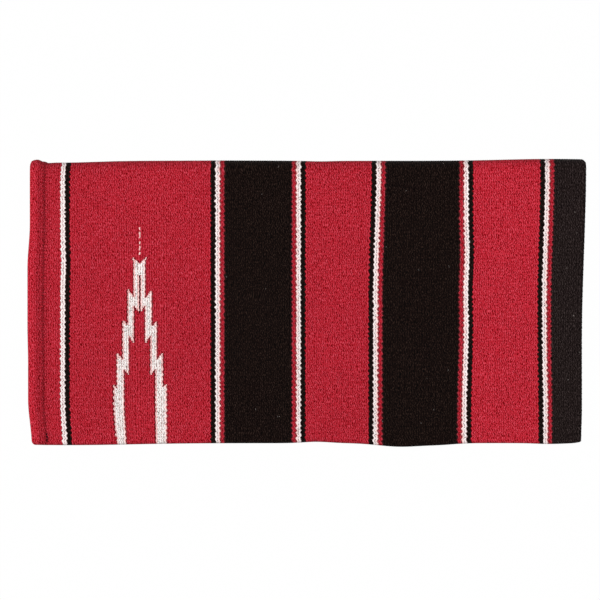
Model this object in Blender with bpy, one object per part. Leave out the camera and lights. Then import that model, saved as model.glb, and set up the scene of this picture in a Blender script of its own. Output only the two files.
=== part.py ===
"""A striped saddle blanket, folded in quarters and lying flat.

The cloth is weft-faced: each stripe is a run of picks, and the picks lie along Y. It is folded in half
along its length, which makes the round edge at +X, and then over its spine, which makes the round edge
at +Y. So four leaves lie on each other: the near side's outer and inner leaf above, and the off side's
inner and outer leaf below. The hemmed ends are at -X and the selvedges at -Y. The near side swings open
about the outermost line of the spine, and the whole blanket rests on the plane Z = 0.
"""

import math

import bmesh
import bpy
from mathutils import Matrix, Vector

# Sizes of the cloth and of the folded packet
FOLDED_LENGTH = 0.8128
FOLDED_WIDTH = 0.414
CENTRE_REACH = 0.0453
CLOTH = 0.0064
LEAF_GAP = 0.0008
INNER_WRAP_RADIUS = 0.0004
SEAT = 0.0003
SELVEDGE_ROUND = 0.0026
OVERRUN = 0.004
WELD = SEAT / 1000
SMOOTH_ANGLE = math.radians(40)

# Stripes of one leaf from the hem to the centre band: name, colours and picks of each colour
LEAF_STRIPES = (
    ("hem_end", ("red",), (14,)),
    ("end_guard", ("white", "black"), (2, 2)),
    ("figure_field", ("red",), (60,)),
    ("guard_1", ("black", "white", "red"), (2, 2, 2)),
    ("black_band_1", ("black",), (29,)),
    ("guard_2", ("red", "white", "black"), (2, 2, 2)),
    ("red_band_1", ("red",), (28,)),
    ("guard_3", ("black", "white", "red"), (2, 2, 2)),
    ("black_band_2", ("black",), (31,)),
    ("guard_4", ("red", "white", "black"), (2, 2, 2)),
    ("red_band_2", ("red",), (29,)),
    ("guard_5", ("black", "white", "red"), (2, 2, 2)),
)

# One pick's width, which the stripes up to the centre band share out
ALL_PICKS = sum(sum(picks) for _, _, picks in LEAF_STRIPES)
PICK = (FOLDED_LENGTH - CENTRE_REACH) / ALL_PICKS

# Hem: a rounded lip, drawn in by a line of stitches in a valley on each face
HEM_STITCH_INSET = 0.0245
HEM_VALLEY_REACH = 0.0115
STITCH_THREAD = 0.0012
HEM_VALLEY_DEPTH = STITCH_THREAD + 2 * SEAT

# Stepped zigzag of white yarn: columns on each side of the middle, each lower than the last
FIGURE_TOP = 0.2711
COLUMN_WIDTH = 0.0096
COLUMN_PITCH = 0.0078
LAST_COLUMN_PITCH = 0.0053
COLUMN_RISE = 0.0465
COLUMN_LENGTH = 0.0686
COLUMNS = 5
SPIKE_LENGTH = 0.0565
SLIT_LENGTH = 0.0537
SPIKE_WIDTH = 0.0017
SLIT_WIDTH = 0.0017
FIGURE_DEPTH = CLOTH / 2

# How round edges and arcs are divided
WRAP_STEPS = 6
FOLD_STEPS = 8
LIP_STEPS = 4
VALLEY_STEPS = 6
THREAD_TURN_STEPS = 6
THREAD_SIDES_RESOLUTION = 2
POINT_WEIGHT = 1
# Place of each selvedge section along the rounding, with its thickness, both as shares
SELVEDGE_SHARES = ((0, 0.4), (0.35, 0.8), (1, 1))

# Places that follow from the sizes: R is the distance from the spine's axis
HALF_CLOTH = CLOTH / 2
INNER_MIDDLE_R = INNER_WRAP_RADIUS + HALF_CLOTH
OUTER_MIDDLE_R = INNER_MIDDLE_R + CLOTH + LEAF_GAP
BETWEEN_LEAVES_R = (INNER_MIDDLE_R + OUTER_MIDDLE_R) / 2
WRAP_RADIUS = OUTER_MIDDLE_R + HALF_CLOTH
FOLD_OUTER_RADIUS = WRAP_RADIUS - BETWEEN_LEAVES_R
FOLD_MIDDLE_RADIUS = FOLD_OUTER_RADIUS - HALF_CLOTH
STRAIGHT_RUN = FOLDED_WIDTH - WRAP_RADIUS
STRIPES_LENGTH = FOLDED_LENGTH - CENTRE_REACH
FOLD_X = FOLDED_LENGTH - FOLD_OUTER_RADIUS
MIDDLE_Z = WRAP_RADIUS + SEAT / 2
LEAF_MIDDLES = {"outer": OUTER_MIDDLE_R, "inner": INNER_MIDDLE_R}

# Linear colour and roughness of each yarn, all of them wool
YARNS = {
    "red": ((0.43, 0.020, 0.034), 0.85),
    "black": ((0.009, 0.0056, 0.005), 0.9),
    "white": ((0.84, 0.71, 0.69), 0.85),
}


def start_scene():
    """Clears the scene and makes the collections for the blanket and for what cuts it."""
    for item in list(bpy.data.objects):
        bpy.data.objects.remove(item)
    made = {}
    for name in ("saddle_blanket", "cutters"):
        made[name] = bpy.data.collections.new(name)
        bpy.context.scene.collection.children.link(made[name])
    made["cutters"].hide_render = True
    return made


def yarn_materials():
    materials = {}
    for name, (colour, roughness) in YARNS.items():
        material = bpy.data.materials.new(f"{name}_yarn")
        material.use_nodes = True
        surface = material.node_tree.nodes["Principled BSDF"]
        surface.inputs["Base Color"].default_value = (*colour, 1)
        surface.inputs["Roughness"].default_value = roughness
        surface.inputs["Metallic"].default_value = 0
        material.diffuse_color = (*colour, 1)
        materials[name] = material
    return materials


def flat_ribs(places, middle):
    """Profile ribs of a flat leaf, each a pair of points on its outer and inner face."""
    return [((x, middle + HALF_CLOTH), (x, middle - HALF_CLOTH)) for x in places]


def hem_ribs(width, middle):
    """Ribs of the hemmed end: a half-round lip, a level stretch, the stitched valley, then level cloth."""
    halves = []
    for step in range(1, LIP_STEPS + 1):
        angle = step / LIP_STEPS * math.pi / 2
        halves.append((HALF_CLOTH * (1 - math.cos(angle)), HALF_CLOTH * math.sin(angle)))
    halves.insert(0, (0, halves[0][1] / 2))
    for step in range(-VALLEY_STEPS // 2, VALLEY_STEPS // 2 + 1):
        share = 2 * step / VALLEY_STEPS
        dip = HEM_VALLEY_DEPTH * (1 + math.cos(math.pi * share)) / 2
        halves.append((HEM_STITCH_INSET + HEM_VALLEY_REACH * share, HALF_CLOTH - dip))
    halves.append((width, HALF_CLOTH))
    return [((x, middle + half), (x, middle - half)) for x, half in halves]


def fold_ribs(start):
    """Ribs of the centre band: along the outer leaf, round the length fold and back on the inner leaf."""
    ribs = flat_ribs([start], OUTER_MIDDLE_R)
    for step in range(FOLD_STEPS + 1):
        angle = math.pi * (0.5 - step / FOLD_STEPS)
        ray = Vector((math.cos(angle), math.sin(angle)))
        hub = Vector((FOLD_X, BETWEEN_LEAVES_R))
        outer = hub + ray * (FOLD_MIDDLE_RADIUS + HALF_CLOTH)
        inner = hub + ray * (FOLD_MIDDLE_RADIUS - HALF_CLOTH)
        ribs.append((tuple(outer), tuple(inner)))
    ribs.append(((start, INNER_MIDDLE_R - HALF_CLOTH), (start, INNER_MIDDLE_R + HALF_CLOTH)))
    return ribs


def towards_middle(point, share):
    """Moves a profile point so that its distance from the cloth's middle surface is scaled by share."""
    if point.x > FOLD_X:
        hub = Vector((FOLD_X, point.y, BETWEEN_LEAVES_R))
        middle = hub + (point - hub).normalized() * FOLD_MIDDLE_RADIUS
    else:
        outside = point.z > BETWEEN_LEAVES_R
        middle = Vector((point.x, point.y, OUTER_MIDDLE_R if outside else INNER_MIDDLE_R))
    return middle + (point - middle) * share


def extruded_front(shape, front, keep=False):
    """Extrudes the faces at a sweep's growing end and gives the new ones. The old ones go, unless kept."""
    grown = bmesh.ops.extrude_face_region(shape, geom=front)["geom"]
    if not keep:
        bmesh.ops.delete(shape, geom=front, context="FACES")
    return [item for item in grown if isinstance(item, bmesh.types.BMFace)]


def swept_leaf(name, ribs, draw_in=0):
    """Sweeps a profile from the selvedge along the straight run and a quarter turn round the spine.

    The mesh has its own X along the leaf and the spine's axis as its line Y = Z = 0. The profile is
    thinner at the selvedge, and draw_in is how far short of the other selvedges this one ends.
    """
    shape = bmesh.new()
    rows = []
    for rib in ribs:
        rows.append([shape.verts.new((x, 0, r)) for x, r in rib])
    for (outer, inner), (next_outer, next_inner) in zip(rows, rows[1:]):
        shape.faces.new((outer, next_outer, next_inner, inner))
    edge_y = draw_in - STRAIGHT_RUN
    stations = [(edge_y + SELVEDGE_ROUND * place, share) for place, share in SELVEDGE_SHARES]
    stations.append((0, 1))
    front = list(shape.faces)
    before = 1
    for number, (y, share) in enumerate(stations):
        if number:
            front = extruded_front(shape, front, keep=number == 1)
        for vert in {vert for face in front for vert in face.verts}:
            vert.co = towards_middle(vert.co, share / before)
            vert.co.y = y
        before = share
    turn = Matrix.Rotation(-math.pi / 2 / WRAP_STEPS, 3, "X")
    for _ in range(WRAP_STEPS):
        front = extruded_front(shape, front)
        verts = {vert for face in front for vert in face.verts}
        bmesh.ops.rotate(shape, verts=list(verts), cent=(0, 0, 0), matrix=turn)
    bmesh.ops.remove_doubles(shape, verts=shape.verts, dist=WELD)
    bmesh.ops.recalc_face_normals(shape, faces=shape.faces)
    mesh = bpy.data.meshes.new(name)
    shape.to_mesh(mesh)
    shape.free()
    return mesh


def figure_half_outline():
    """Right half of the zigzag's outline, down and back up, as (x, height above the selvedge)."""
    outers = [COLUMN_WIDTH + COLUMN_PITCH * column for column in range(COLUMNS - 1)]
    outers.append(outers[-1] + LAST_COLUMN_PITCH)
    inners = [COLUMN_PITCH * column for column in range(COLUMNS - 1)]
    tops = [FIGURE_TOP - COLUMN_RISE * column for column in range(COLUMNS)]
    feet = [top - COLUMN_WIDTH - COLUMN_LENGTH for top in tops]
    notch = FIGURE_TOP - COLUMN_WIDTH
    spike_edge = SPIKE_WIDTH / 2
    slit_edge = SLIT_WIDTH / 2
    points = [(spike_edge, notch + SPIKE_LENGTH), (spike_edge, notch + spike_edge), (outers[0], tops[0])]
    for column in range(1, COLUMNS):
        step = outers[column] - outers[column - 1]
        points.append((outers[column - 1], tops[column] - step))
        points.append((outers[column], tops[column]))
    points.append((outers[-1], -OVERRUN))
    points.append((inners[-1], -OVERRUN))
    for column in range(COLUMNS - 2, 0, -1):
        points.append((inners[column], feet[column - 1] + COLUMN_PITCH))
        tip_x = max(inners[column - 1], slit_edge)
        points.append((tip_x, feet[column - 1] + tip_x - inners[column - 1]))
    points.append((slit_edge, feet[0] + SLIT_LENGTH))
    return points


def grown_outline(points, grow):
    """Moves each side of a clockwise outline out by grow, with mitred corners."""
    moved = []
    for number, point in enumerate(points):
        here = Vector(point)
        normals = []
        for start, end in (
            (Vector(points[number - 1]), here),
            (here, Vector(points[(number + 1) % len(points)])),
        ):
            run = (end - start).normalized()
            normals.append(Vector((-run.y, run.x)))
        mitre = (normals[0] + normals[1]) / (1 + normals[0].dot(normals[1]))
        moved.append(here + mitre * grow)
    return moved


def figure_prism(name, middle_x, grow, low_z, high_z):
    """The zigzag as a solid from low_z to high_z, over the straight run of a leaf."""
    half = figure_half_outline()
    outline = half + [(-x, height) for x, height in reversed(half)]
    curve = bpy.data.curves.new(name, "CURVE")
    curve.dimensions = "2D"
    curve.fill_mode = "BOTH"
    curve.extrude = (high_z - low_z) / 2
    spline = curve.splines.new("POLY")
    spline.use_cyclic_u = True
    spline.points.add(len(outline) - 1)
    for target, point in zip(spline.points, grown_outline(outline, grow)):
        target.co = (middle_x + point.x, point.y - STRAIGHT_RUN, 0, POINT_WEIGHT)
    mesh = mesh_of_curve(name, curve)
    mesh.transform(Matrix.Translation((0, 0, (high_z + low_z) / 2)))
    return mesh


def mesh_of_curve(name, curve):
    """A closed mesh of a curve, with its caps welded to its sides."""
    guide = bpy.data.objects.new(name, curve)
    bpy.context.scene.collection.objects.link(guide)
    graph = bpy.context.evaluated_depsgraph_get()
    mesh = bpy.data.meshes.new_from_object(guide.evaluated_get(graph))
    bpy.data.objects.remove(guide)
    bpy.data.curves.remove(curve)
    shape = bmesh.new()
    shape.from_mesh(mesh)
    bmesh.ops.remove_doubles(shape, verts=shape.verts, dist=WELD)
    bmesh.ops.recalc_face_normals(shape, faces=shape.faces)
    shape.to_mesh(mesh)
    shape.free()
    mesh.name = name
    return mesh


def cut_mesh(mesh, tool_mesh, operation, cutters):
    """The mesh after one exact Boolean with a tool, which stays in the cutters' collection."""
    tool = bpy.data.objects.new(tool_mesh.name, tool_mesh)
    tool.hide_render = True
    tool.display_type = "WIRE"
    cutters.objects.link(tool)
    body = bpy.data.objects.new(mesh.name, mesh)
    bpy.context.scene.collection.objects.link(body)
    modifier = body.modifiers.new("cut", "BOOLEAN")
    modifier.operation = operation
    modifier.solver = "EXACT"
    modifier.object = tool
    graph = bpy.context.evaluated_depsgraph_get()
    result = bpy.data.meshes.new_from_object(body.evaluated_get(graph))
    bpy.data.objects.remove(body)
    return result


def field_and_figure(leaf, width, cutters):
    """A leaf's red field with the zigzag's bed cut half way through, and the white zigzag that fills it.

    The figure is in the cloth's face layer, which is outside on the outer leaf and inside on the inner one.
    """
    middle = LEAF_MIDDLES[leaf]
    blank = swept_leaf(f"{leaf}_field_blank", flat_ribs((0, width), middle))
    face = HALF_CLOTH if leaf == "outer" else -HALF_CLOTH
    away = OVERRUN if leaf == "outer" else -OVERRUN
    bed = middle + face - math.copysign(FIGURE_DEPTH, face)
    floor = bed - math.copysign(SEAT, face)
    past = middle + face + away
    bed_cutter = figure_prism(
        f"{leaf}_bed_cutter", width / 2, SEAT, min(floor, past), max(floor, past)
    )
    figure = figure_prism(f"{leaf}_figure_blank", width / 2, 0, min(bed, past), max(bed, past))
    field = cut_mesh(blank.copy(), bed_cutter, "DIFFERENCE", cutters)
    figure = cut_mesh(figure, blank, "INTERSECT", cutters)
    return field, figure


def hem_thread(leaf):
    """The sewing thread of one leaf's hem: down the outer valley, round the selvedge and back inside."""
    middle = LEAF_MIDDLES[leaf]
    reach = HALF_CLOTH - HEM_VALLEY_DEPTH + SEAT + STITCH_THREAD / 2
    points = []
    for step in range(WRAP_STEPS + 1):
        angle = math.pi / 2 * step / WRAP_STEPS
        points.append(((middle + reach) * Vector((math.cos(angle), math.sin(angle)))))
    turn_y = STITCH_THREAD / 2 + reach - STRAIGHT_RUN
    for step in range(THREAD_TURN_STEPS + 1):
        angle = math.pi / 2 + math.pi * step / THREAD_TURN_STEPS
        points.append(Vector((turn_y + reach * math.cos(angle), middle + reach * math.sin(angle))))
    for step in range(WRAP_STEPS, -1, -1):
        angle = math.pi / 2 * step / WRAP_STEPS
        points.append(((middle - reach) * Vector((math.cos(angle), math.sin(angle)))))
    curve = bpy.data.curves.new(f"{leaf}_hem_thread", "CURVE")
    curve.dimensions = "3D"
    curve.bevel_depth = STITCH_THREAD / 2
    curve.bevel_resolution = THREAD_SIDES_RESOLUTION
    curve.use_fill_caps = True
    spline = curve.splines.new("POLY")
    spline.points.add(len(points) - 1)
    for target, point in zip(spline.points, points):
        target.co = (HEM_STITCH_INSET, point.x, point.y, POINT_WEIGHT)
    return mesh_of_curve(f"{leaf}_hem_thread", curve)


def leaf_meshes(cutters):
    """Meshes of the near side's pieces: (name, mesh, start along the leaf, colours, picks)."""
    pieces = []
    for leaf, middle in LEAF_MIDDLES.items():
        start = 0
        for name, colours, picks in LEAF_STRIPES:
            width = PICK * sum(picks) - SEAT
            if name == "hem_end":
                ribs = hem_ribs(width, middle)
                mesh = swept_leaf(name, ribs, draw_in=STITCH_THREAD + SEAT)
            elif name == "figure_field":
                mesh, figure = field_and_figure(leaf, width, cutters)
                pieces.append((f"{leaf}_zigzag", figure, start, ("white",), (1,)))
            else:
                places = [PICK * sum(picks[:number]) for number in range(len(picks))]
                mesh = swept_leaf(name, flat_ribs([*places, width], middle))
            pieces.append((f"{leaf}_{name}", mesh, start, colours, picks))
            start += PICK * sum(picks)
        pieces.append((f"{leaf}_hem_thread", hem_thread(leaf), 0, ("red",), (1,)))
    centre = swept_leaf("centre_band", fold_ribs(STRIPES_LENGTH))
    pieces.append(("centre_band", centre, 0, ("black",), (1,)))
    return pieces


def paint(mesh, colours, picks, materials):
    """Gives each face the yarn of the stripe that it lies on."""
    mesh.materials.clear()
    for colour in colours:
        mesh.materials.append(materials[colour])
    ends = [PICK * sum(picks[: number + 1]) for number in range(len(picks) - 1)]
    for polygon in mesh.polygons:
        polygon.material_index = sum(polygon.center.x > end for end in ends)


def mirrored(mesh):
    """A copy of a near side mesh turned into its off side twin."""
    twin = mesh.copy()
    twin.transform(Matrix.Scale(-1, 4, (0, 0, 1)))
    twin.flip_normals()
    return twin


def build_blanket():
    collections = start_scene()
    blanket, cutters = collections["saddle_blanket"], collections["cutters"]
    materials = yarn_materials()
    pieces = leaf_meshes(cutters)
    for side, sign in (("near", 1), ("off", -1)):
        pivot = bpy.data.objects.new(f"{side}_side", None)
        pivot.location = (0, FOLDED_WIDTH / 2, MIDDLE_Z)
        blanket.objects.link(pivot)
        for name, mesh, start, colours, picks in pieces:
            own = mesh if sign > 0 else mirrored(mesh)
            paint(own, colours, picks, materials)
            own.shade_smooth()
            own.set_sharp_from_angle(angle=SMOOTH_ANGLE)
            piece = bpy.data.objects.new(f"{side}_{name}", own)
            piece.parent = pivot
            piece.location = (start - FOLDED_LENGTH / 2, -WRAP_RADIUS, sign * SEAT / 2)
            blanket.objects.link(piece)


build_blanket()
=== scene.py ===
"""A striped saddle blanket of wool, folded in quarters and lying flat on a pale floor.

Every piece is laid out on the loom first: picks are counted along the warp from the hem, and warps are
counted across it from the near selvedge, over the spine, to the off selvedge. Then it is folded as the
solids are, and settled into the slightly uneven outline of soft cloth.
"""

import math

import bpy
import numpy as np
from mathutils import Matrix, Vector


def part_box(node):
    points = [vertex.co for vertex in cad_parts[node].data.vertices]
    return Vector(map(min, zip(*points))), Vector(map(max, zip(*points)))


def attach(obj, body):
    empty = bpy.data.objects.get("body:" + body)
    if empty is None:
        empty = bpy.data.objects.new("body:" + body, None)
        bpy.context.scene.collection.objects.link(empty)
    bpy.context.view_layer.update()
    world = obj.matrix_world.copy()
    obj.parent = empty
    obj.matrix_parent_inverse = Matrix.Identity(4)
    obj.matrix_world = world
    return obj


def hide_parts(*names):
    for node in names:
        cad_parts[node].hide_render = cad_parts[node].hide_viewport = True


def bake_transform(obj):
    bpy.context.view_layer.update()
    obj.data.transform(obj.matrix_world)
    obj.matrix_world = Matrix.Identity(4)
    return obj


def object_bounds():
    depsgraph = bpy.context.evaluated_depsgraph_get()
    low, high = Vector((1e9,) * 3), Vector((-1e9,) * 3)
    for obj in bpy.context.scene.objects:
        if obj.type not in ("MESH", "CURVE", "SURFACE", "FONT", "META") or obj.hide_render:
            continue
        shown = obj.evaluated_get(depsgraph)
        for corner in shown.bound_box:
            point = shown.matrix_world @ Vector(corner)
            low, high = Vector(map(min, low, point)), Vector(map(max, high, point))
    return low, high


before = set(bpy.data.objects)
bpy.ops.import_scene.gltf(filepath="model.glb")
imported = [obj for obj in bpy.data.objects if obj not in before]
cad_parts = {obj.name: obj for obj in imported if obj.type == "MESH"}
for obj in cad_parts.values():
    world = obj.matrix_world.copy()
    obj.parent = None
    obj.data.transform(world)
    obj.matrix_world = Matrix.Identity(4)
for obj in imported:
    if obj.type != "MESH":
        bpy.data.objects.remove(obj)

cad_low, cad_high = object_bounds()

# Camera
# A long lens looks straight down on the folded blanket, with the spine at the top of the picture.
# The blanket fills most of the picture's width and lies a little above and right of its centre.

CAMERA_HEIGHT = 3.6
PICTURE_WIDTH = 0.8787
PICTURE_CENTRE = (-0.0086, 0.0029)
SENSOR_WIDTH = 36.0
FARTHEST = 50

lens = bpy.data.cameras.new("camera")
lens.sensor_width = SENSOR_WIDTH
lens.lens = SENSOR_WIDTH * (CAMERA_HEIGHT - cad_high[2]) / PICTURE_WIDTH
lens.clip_end = FARTHEST
camera = bpy.data.objects.new("camera", lens)
camera.location = (*PICTURE_CENTRE, CAMERA_HEIGHT)
bpy.context.scene.collection.objects.link(camera)
bpy.context.scene.camera = camera


# Red figure fields, with the way that the whole cloth is woven, dyed and folded
# The field is thick weft-faced wool: each pick passes over one warp and under the next, so that
# neighbouring picks show as wavy ribbons, packed side by side, with a bead over every warp.

# The solids' own sizes. A radius is that of the middle of the cloth: round the spine for each leaf, and
# for the centre band between the two, and round the length fold.
CLOTH = 0.0064
HALF_CLOTH = CLOTH / 2
SEAT = 0.0003
FOLDED_LENGTH = 0.8128
CENTRE_REACH = 0.0453
LEAF_PICKS = 225
PICK = (FOLDED_LENGTH - CENTRE_REACH) / LEAF_PICKS
WARPS = 216
LEAF_RADIUS = {"outer": 0.0108, "inner": 0.0036}
BETWEEN_RADIUS = 0.0072
FOLD_RADIUS = 0.0036
FOLD_START = CENTRE_REACH - FOLD_RADIUS - HALF_CLOTH
LEAF_LOW, LEAF_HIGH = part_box("near_outer_guard_1")
SPINE_Y = LEAF_HIGH.y - LEAF_RADIUS["outer"] - HALF_CLOTH
RUN = SPINE_Y - LEAF_LOW.y
MIDDLE_Z = cad_high[2] / 2
HEM_X = cad_low[0]
LEAF_LENGTH = {
    leaf: 2 * RUN + math.pi * radius
    for leaf, radius in (*LEAF_RADIUS.items(), ("centre", BETWEEN_RADIUS))
}

# Rows of points across the warps. They are closer together in the crease at the spine.
ROWS_A_WARP = 3
FIRST_ROW = 0.03
CREASE_ROWS = (0.012, 0.024, 0.04, 0.07, 0.12, 0.2, 0.3, 0.4)
CREASE_REACH = 0.45

# The ribbons' wave, with how much its reach varies, their slant over each warp, the beads' relief, with
# the dip between two beads, and how unevenly a hand packs the picks and spaces the warps. The lines run
# straight at the very edge of the hem and in the crease at the spine.
WAVE = 0.00080
WAVE_SPREAD = 0.35
WARPS_A_REACH = 4
SLANT = 0.00026
BEAD = 0.00026
BEAD_DIP = 0.28
HAND = 0.00018
HAND_SEED = {"outer": 25100, "inner": 25100, "centre": 30100}
UNEVEN = 0.38
WARPS_A_DRIFT = 3
LINES_A_DRIFT = 28
DRIFT_SEED = {"outer": 9500, "inner": 9500, "centre": 10000}
CALM_LINES = 3
CALM_WARPS = (0.4, 1.6)

# The figure's axis in picks, its height, and how it holds the cloth about it: ribbons that wave less, and
# lines crowded to or from the axis (picks from the axis, and picks moved), most of all towards its feet
FIGURE_PICK = 47.75
FIGURE_HEIGHT = 0.325
FIGURE_REACH = 13
STIFF_SHARE, STIFF_REACH = 0.45, 11
AXIS_STIFF_SHARE, AXIS_STIFF_REACH = 0.2, 1.2
CROWDED = (
    (-13, -11.25, -9.75, -6.75, -5.25, -2.25, -0.25, 0.25, 2.25, 4.75, 5.25, 6.75, 9.75, 11.25, 13),
    (0, 0.2, 0, 0, 0.17, -0.38, -0.09, 0.09, 0.02, -0.17, -0.17, 0, 0, 0.22, 0),
)
SLIT_HEIGHT = 0.25
SLIT_HALF_WIDTH = 0.3
ABOVE_SLIT_SHARE = 0.6
NARROWED = 0.035
NARROWED_HEIGHT = 0.065

# The rounding of the selvedges and of the leaf's corners, the hem's seam in its valley, the lip's roll,
# and how far the inside of the spine fold is pinched in
RIM = 0.0030
CORNER = 0.0062
CORNER_FLOOR = 0.15
SEAM_INSET = 0.0233
VALLEY_TO_LIP, VALLEY_TO_CLOTH = 0.0150, 0.0180
FRONT_VALLEY, BACK_VALLEY = 0.0032, 0.0016
VALLEY_LOST_AT_SPINE, VALLEY_LOST_WARPS = 0.6, 7
ROLL, ROLL_START, ROLL_END = 0.0012, (0, 0.006), (0.010, 0.020)
PINCH = 0.0052
PINCH_ROUNDNESS = 0.4

# Every so many ribbon lines of the front are there on the back too
BACK_STEP = 8
NARROW_BACK_STEP = 4

# How the folded blanket has settled: (share of the length, width, height) of swells along its edges, how
# far the spine edge has moved out, and between which shares of the width each edge's swells die away
SPINE_SWELLS = (
    (0.0155, 0.0125, 0.0026), (0.06, 0.08, -0.0026), (0.35, 0.10, 0.0005), (0.525, 0.03, -0.0008),
    (0.94, 0.12, 0.0028),
)
SELVEDGE_SWELLS = (
    (0.07, 0.16, -0.0029), (0.52, 0.035, 0.0020), (0.675, 0.055, -0.0053), (0.745, 0.035, -0.0018),
    (0.94, 0.035, -0.0012), (1.0, 0.012, 0.0016),
)
SPINE_SHIFT = 0.0006
SPINE_EDGE, SELVEDGE_EDGE = (0.55, 1), (0, 0.4)

# Low ripples over the top: their height, then for each set its share and two waves that cross, given as
# radians along the length, radians up from the selvedge, and where the wave starts
RIPPLE = 0.0007
RIPPLES = (
    (1.0, (9.1, 2.3, 0.6), (-3.7, 5.3, 1.1)),
    (0.6, (17.0, -8.2, 0.0), (0.0, 11.0, 2.0)),
)


def smooth_step(low, high, value):
    """0 below low and 1 above high, smoothly."""
    share = np.clip((value - low) / (high - low), 0, 1)
    return share * share * (3 - 2 * share)


def swell(place, width, along):
    """A rounded hump of height 1."""
    return np.exp(-(((along - place) / width) ** 2))


def swells(places, along):
    """The sum of the humps of a table, each with its own height."""
    return sum(height * swell(place, width, along) for place, width, height in places)


def pulls(up):
    """How far the cloth has been pulled along its length, from the selvedge up, at places along it.

    The places are the hem edge, the hem's white stripe, the figure, the other white stripes and the fold.
    """
    corner = 1 - smooth_step(0, 0.16, up)
    hem_edge = -0.0018 + 0.0035 * smooth_step(0.62, 0.78, up) + 0.0010 * (1 - smooth_step(0.28, 0.42, up))
    end_stripe = -0.0009 + 0.0012 * swell(0.64, 0.07, up) + 0.0013 * smooth_step(0.93, 1, up)
    fourth = 0.0006 + 0.0028 * smooth_step(0.10, 0.42, up) + 0.0013 * swell(0.68, 0.08, up)
    fourth -= 0.0006 * swell(0.53, 0.05, up)
    fifth = -0.0016 + 0.0045 * smooth_step(0.50, 0.95, up) + 0.0019 * (1 - smooth_step(0.10, 0.42, up))
    fold = -0.0012 + 0.0064 * smooth_step(0.35, 1, up) - 0.0010 * (1 - smooth_step(0, 0.12, up))
    return (
        (0, hem_edge + 0.0053 * corner),
        (0.0605, end_stripe + 0.0030 * corner),
        (0.20, 0.0003 + 0.0020 * corner),
        (0.34, 0.0010),
        (0.487, 0),
        (0.629, -0.0034 + 0.0050 * smooth_step(0.50, 1, up)),
        (0.787, fourth),
        (0.932, fifth),
        (1, fold),
    )


def settled(x, y, z):
    """Moves points of the neatly folded packet to where the soft cloth has come to lie."""
    along = (x - HEM_X) / (cad_high[0] - HEM_X)
    up = (y - cad_low[1]) / (cad_high[1] - cad_low[1])
    pulled = pulls(np.clip(up, 0, 1))
    place = np.interp(along, [share for share, _ in pulled], np.arange(len(pulled)))
    dx = sum(np.clip(1 - np.abs(place - k), 0, 1) * pull for k, (_, pull) in enumerate(pulled))
    dy = (SPINE_SHIFT + swells(SPINE_SWELLS, along)) * smooth_step(*SPINE_EDGE, up)
    dy += swells(SELVEDGE_SWELLS, along) * (1 - smooth_step(*SELVEDGE_EDGE, up))
    ripple = 0
    for share, *waves in RIPPLES:
        one, other = (np.sin(right * along + rise * up + start) for right, rise, start in waves)
        ripple = ripple + share * one * other
    dz = RIPPLE * ripple * np.clip((z - MIDDLE_Z) / MIDDLE_Z, 0, 1.2)
    return np.stack([x + dx, y + dy, np.maximum(z + dz, 0)], axis=-1)


def warp_path(q, leaf):
    """Where a point q along the warp lies: x, distance from the spine's axis, and the front's direction."""
    if leaf != "centre":
        front = 1.0 if leaf == "outer" else -1.0
        return HEM_X + q, np.full_like(q, LEAF_RADIUS[leaf]), np.zeros_like(q), np.full_like(q, front)
    past = q - LEAF_PICKS * PICK
    turn = np.clip((past - FOLD_START) / FOLD_RADIUS, 0, np.pi)
    back = np.maximum(past - FOLD_START - np.pi * FOLD_RADIUS, 0)
    x = HEM_X + LEAF_PICKS * PICK + np.minimum(past, FOLD_START) + FOLD_RADIUS * np.sin(turn) - back
    return x, BETWEEN_RADIUS + FOLD_RADIUS * np.cos(turn), np.sin(turn), np.cos(turn)


def folded(q, warp, lift, leaf):
    """Points of the folded blanket: q along the warp in metres, warp counted, lift out of the cloth."""
    inset = np.minimum(warp, WARPS - warp) / WARPS * LEAF_LENGTH[leaf]
    square = np.maximum(np.sqrt(1 - (1 - np.clip(inset / CORNER, 0, 1)) ** 2), CORNER_FLOOR)
    q = np.where(q < CORNER, CORNER - (CORNER - q) * square, q)
    x, middle, front_x, front_radius = warp_path(q, leaf)
    radius = middle + lift * front_radius
    run = warp / WARPS * (2 * RUN + np.pi * middle)
    turn = np.clip((run - RUN) / middle, 0, np.pi)
    y = np.minimum(run - RUN, 0) - np.maximum(run - RUN - np.pi * middle, 0) + radius * np.sin(turn)
    inside = np.clip((LEAF_RADIUS["inner"] + HALF_CLOTH - radius) / CLOTH, 0, 1)
    y = y + PINCH * inside * np.sin(turn) ** PINCH_ROUNDNESS
    z = MIDDLE_Z + (radius + SEAT / 2) * np.cos(turn)
    return settled(x + lift * front_x, SPINE_Y + y, z)


def warp_rows():
    """Where the rows of points lie, in warps from the near selvedge."""
    rows = (np.arange(WARPS * ROWS_A_WARP) + 0.5) / ROWS_A_WARP
    rows = rows[np.abs(rows - WARPS / 2) > CREASE_REACH]
    crease = [WARPS / 2 + sign * step for step in CREASE_ROWS for sign in (-1, 1)]
    ends = [0, FIRST_ROW, WARPS - FIRST_ROW, WARPS, WARPS / 2]
    return np.unique(np.concatenate([rows, crease, ends]))


ROWS = warp_rows()


def warp_count(half_pick, leaf):
    """The warps counted at each row along a ribbon line, as unevenly as they are spaced."""
    first, share = divmod(half_pick / LINES_A_DRIFT, 1)
    drifts = []
    for number in (first, first + 1):
        chance = np.random.default_rng(DRIFT_SEED[leaf] + int(number))
        drift = chance.normal(0, UNEVEN, WARPS // WARPS_A_DRIFT + 1)
        drift[0] = drift[-1] = 0
        drifts.append(np.interp(ROWS, np.arange(0, WARPS + 1, WARPS_A_DRIFT), drift))
    share = smooth_step(0, 1, share)
    return ROWS + drifts[0] * (1 - share) + drifts[1] * share


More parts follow.
